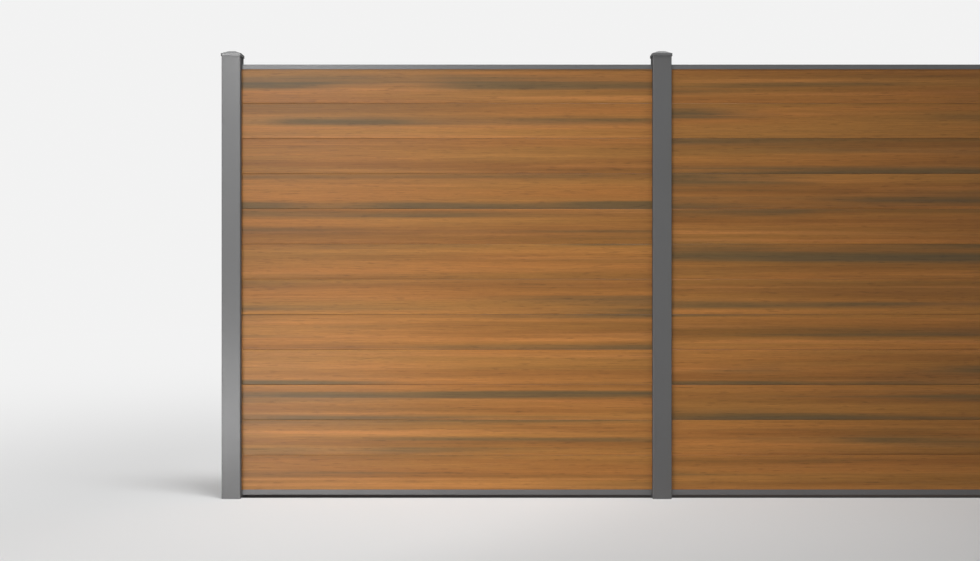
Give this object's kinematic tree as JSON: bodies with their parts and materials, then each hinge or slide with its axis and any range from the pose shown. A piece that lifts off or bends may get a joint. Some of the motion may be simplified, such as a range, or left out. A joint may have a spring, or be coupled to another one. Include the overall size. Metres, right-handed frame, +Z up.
{
  "type": "composite privacy fence",
  "caption": "Privacy fence in bays: stacked tongue-and-groove composite boards between slotted metal posts, with a rail above and below and a low cap on each post.",
  "frame": {"origin": "centre of the left end post's foot, at ground level", "axes": "+X along the fence towards the other posts, -Y towards the viewer in front, +Z up"},
  "size_m": [5.576, 0.086, 1.9045],
  "materials": {
    "post_coat": "matt mid-grey powder coat on extruded aluminium",
    "cap_coat": "matt mid-grey powder coat on die-cast aluminium",
    "rail_coat": "matt mid-grey powder coat on extruded aluminium",
    "cover_coat": "matt mid-grey powder coat on extruded aluminium",
    "board_composite": "warm brown wood-plastic composite with long darker streaks and fine embossed grain",
    "seat_plastic": "black moulded nylon"
  },
  "bodies": {
    "root": {"post_1": "post_coat", "post_2": "post_coat", "post_3": "post_coat", "post_4": "post_coat", "post_cap_1": "cap_coat", "post_cap_2": "cap_coat", "post_cap_3": "cap_coat", "post_cap_4": "cap_coat", "bay_1_boards": "board_composite", "bay_1_top_rail": "rail_coat", "bay_1_bottom_rail": "rail_coat", "bay_1_rail_seats": "seat_plastic", "bay_2_boards": "board_composite", "bay_2_top_rail": "rail_coat", "bay_2_bottom_rail": "rail_coat", "bay_2_rail_seats": "seat_plastic", "bay_3_boards": "board_composite", "bay_3_top_rail": "rail_coat", "bay_3_bottom_rail": "rail_coat", "bay_3_rail_seats": "seat_plastic", "left_slot_cover": "cover_coat", "right_slot_cover": "cover_coat"}
  },
  "joints": []
}
